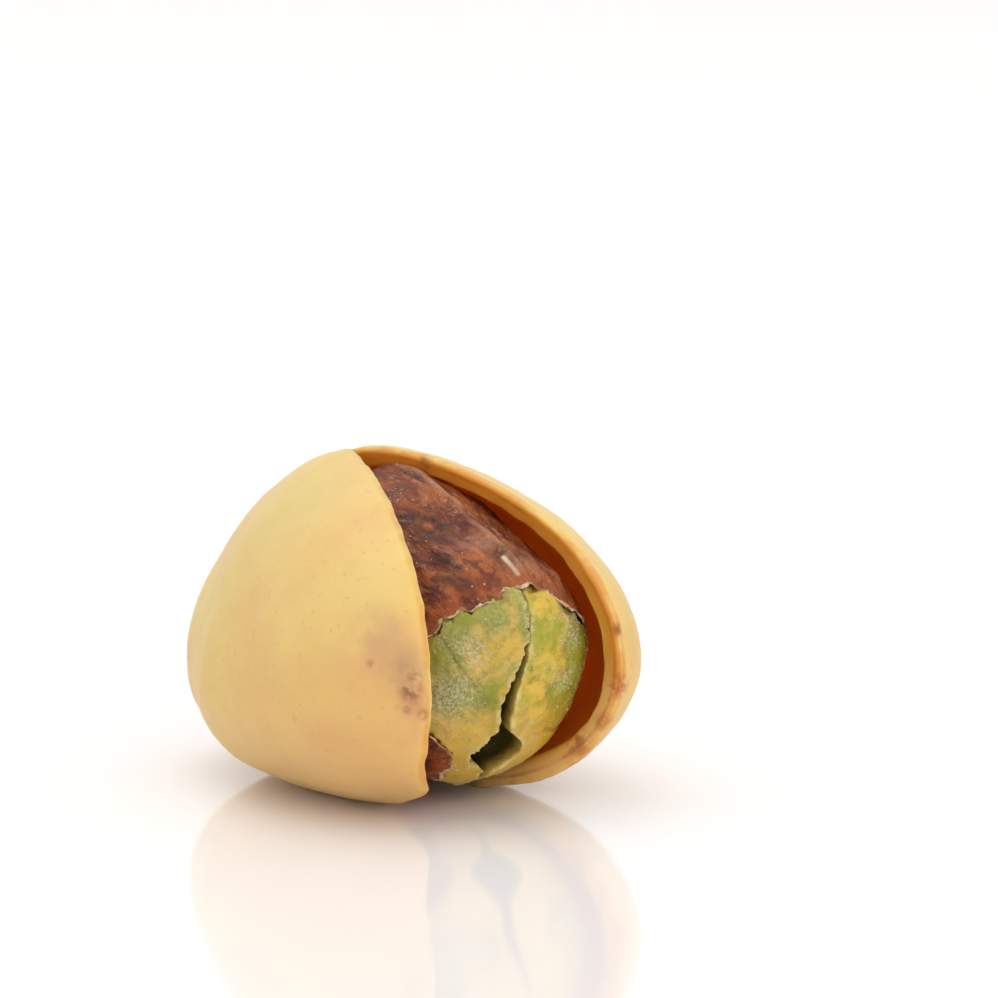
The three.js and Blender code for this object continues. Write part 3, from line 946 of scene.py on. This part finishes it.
# A frost of salt on the skin, near the left valve
FROST = Vector((1.6, -0.9, 11.1)) * MM
FROST_RADIUS = 1.0 * MM


def one_crumb():
    """The corners and faces of one crumb, about a unit across."""
    bpy.ops.mesh.primitive_ico_sphere_add(subdivisions=1, radius=1.0)
    crumb = bpy.context.object
    corners = [v.co.copy() for v in crumb.data.vertices]
    faces = [list(f.vertices) for f in crumb.data.polygons]
    bpy.data.objects.remove(crumb)
    return corners, faces


def kernel_salt(point, normal):
    """Crumbs for each square mm of the bare kernel."""
    local = in_kernel(point)
    if local.x < SALT_FROM or normal.dot(under_form(local)[1]) < SALT_FACING:
        return 0.0
    cloud = max(0.0, noise.noise(local * 0.9) + 0.1)
    drift = sum(smooth_step((point - Vector(c) * MM).length, r * MM, 0) for c, r in DRIFTS)
    return KERNEL_CRUMBS + CLOUD_CRUMBS * cloud + DRIFT_CRUMBS * drift


def skin_salt(point, normal):
    """Crumbs for each square mm of the skin."""
    return SKIN_CRUMBS + FROST_CRUMBS * smooth_step((point - FROST).length, FROST_RADIUS, 0)


def crumb_on(draw, piece, face, corners):
    """The corners of one crumb on a face, with a random size, turn, shape and place."""
    radius = draw.uniform(*CRUMB_RADII) * draw.uniform(0.6, 1.0) * MM
    turn = Euler([draw.uniform(0, math.tau) for axis in range(3)]).to_matrix()
    shape = Vector([draw.uniform(0.6, 1.2) for axis in range(3)])
    first, second = [piece.data.vertices[draw.choice(face.vertices)].co for corner in range(2)]
    middle = face.center.lerp(first, draw.random()).lerp(second, 0.5 * draw.random())
    middle += face.normal * radius * STANDING_OUT
    return [middle + turn @ (Vector([c[i] * shape[i] for i in range(3)]) * radius) for c in corners]


SALTED = ((half_left, kernel_salt), (half_right, kernel_salt), (seed_skin, skin_salt))


def make_salt():
    """All the salt as one mesh."""
    draw = random.Random(SALT_SEED)
    corners, faces = one_crumb()
    all_corners, all_faces = [], []
    for piece, crumbs_per_mm2 in SALTED:
        for face in piece.data.polygons:
            number = face.area / MM**2 * crumbs_per_mm2(face.center, face.normal)
            if draw.random() > number:
                continue
            all_faces += [[len(all_corners) + corner for corner in f] for f in faces]
            all_corners += crumb_on(draw, piece, face, corners)
    mesh = bpy.data.meshes.new("salt")
    mesh.from_pydata(all_corners, [], all_faces)
    salt = bpy.data.objects.new("salt", mesh)
    bpy.context.scene.collection.objects.link(salt)
    print("salt has", len(all_faces) // len(faces), "crumbs")
    return salt


salt = make_salt()


# %% [markdown]
# ## Salt crystals
# Fine table salt is clear, but each grain has so many small faces that it looks white, a little
# stained by the oil and the skin. A glassy shader would be truer close up, and here only slower.

# %% Salt finish
def salt_finish():
    """Dull white crystals."""
    material, shader, place = new_finish("salt crystals", Roughness=0.35, IOR=1.54)
    stained = node(material, "TexNoise", lumps(place, 0.4))
    tone = paint(material, "#e2dace", "#beb2a4", stained)
    material.node_tree.links.new(tone, shader.inputs["Base Color"])
    return material


salt.data.materials.append(salt_finish())
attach(salt, "root")
print(salt.name, "wears", salt.data.materials[0].name)


# %% [markdown]
# ## Dressing the pieces
# Each piece gets its finish and takes the place of its solid, which stays in the frame for the
# collision. The nut has no joint, so all of it rides on one body. The two kernel halves have a
# finish each, because the right one is a little brighter and yellower.

# %% Dressing the pieces
flesh_left = flesh_finish("waxy seed flesh, left", "#8f9028", "#d0aa44")
flesh_right = flesh_finish("waxy seed flesh, right", "#a3a42e", "#dab846")
DRESSED = [
    (nutshell, "shell", "nutshell", nutshell_finish()),
    (seed_skin, "seed_coat", "seed_skin", skin_finish()),
    (half_left, "cotyledon_left", "kernel_green", flesh_left),
    (half_right, "cotyledon_right", "kernel_green", flesh_right),
]
for piece, cad_node, slot, finish in DRESSED:
    piece.data.materials.append(finish)
    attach(piece, "root")
    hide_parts(cad_node)
    print(piece.name, "wears", finish.name)


# %% [markdown]
# ## Studio
# White on white: a glossy white table under a white sky, a large softbox high up and a second one
# in front of the open tip. The table's gloss gives the nut its faint mirror image. The sky alone
# would light the nut evenly from all round, and the softboxes give it a light and a dark side.

# %% Table, sky and softboxes
TABLE_SIZE = 6000 * MM


def glossy_table():
    """The white table that the nut lies on."""
    bpy.ops.mesh.primitive_plane_add(size=TABLE_SIZE, location=(0, 0, 0))
    table = bpy.context.object
    table.name = "table"
    material, shader, place = new_finish("white acrylic", Roughness=0.09, IOR=1.45)
    shader.inputs["Base Color"].default_value = linear("#f6f2f1")
    table.data.materials.append(material)


def white_sky(strength):
    """Even white light from all round."""
    world = bpy.data.worlds.new("white sky")
    world.use_nodes = True
    background = world.node_tree.nodes["Background"]
    background.inputs["Color"].default_value = (1, 1, 1, 1)
    background.inputs["Strength"].default_value = strength
    bpy.context.scene.world = world


def softbox(name, azimuth, elevation, distance, size, power):
    """A square softbox aimed at the nut, its angles in degrees as seen from the nut."""
    way = towards(math.radians(azimuth), math.radians(elevation))
    bpy.ops.object.light_add(type="AREA", location=NUT_MIDDLE + way * distance)
    light = bpy.context.object
    light.name = name
    light.rotation_euler = way.to_track_quat("Z", "Y").to_euler()
    light.data.size = size
    light.data.energy = power
    print("softbox", name, "has", power, "W")


glossy_table()
white_sky(strength=1.0)
softbox("top", azimuth=-60, elevation=72, distance=300 * MM, size=260 * MM, power=0.2)
softbox("front", azimuth=80, elevation=22, distance=400 * MM, size=300 * MM, power=0.3)
bpy.context.scene.view_settings.view_transform = "Standard"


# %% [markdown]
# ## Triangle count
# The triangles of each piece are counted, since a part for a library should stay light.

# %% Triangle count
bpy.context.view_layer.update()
for piece in (nutshell, seed_skin, half_left, half_right, salt):
    print(piece.name, "has", sum(len(f.vertices) - 2 for f in piece.data.polygons), "triangles")
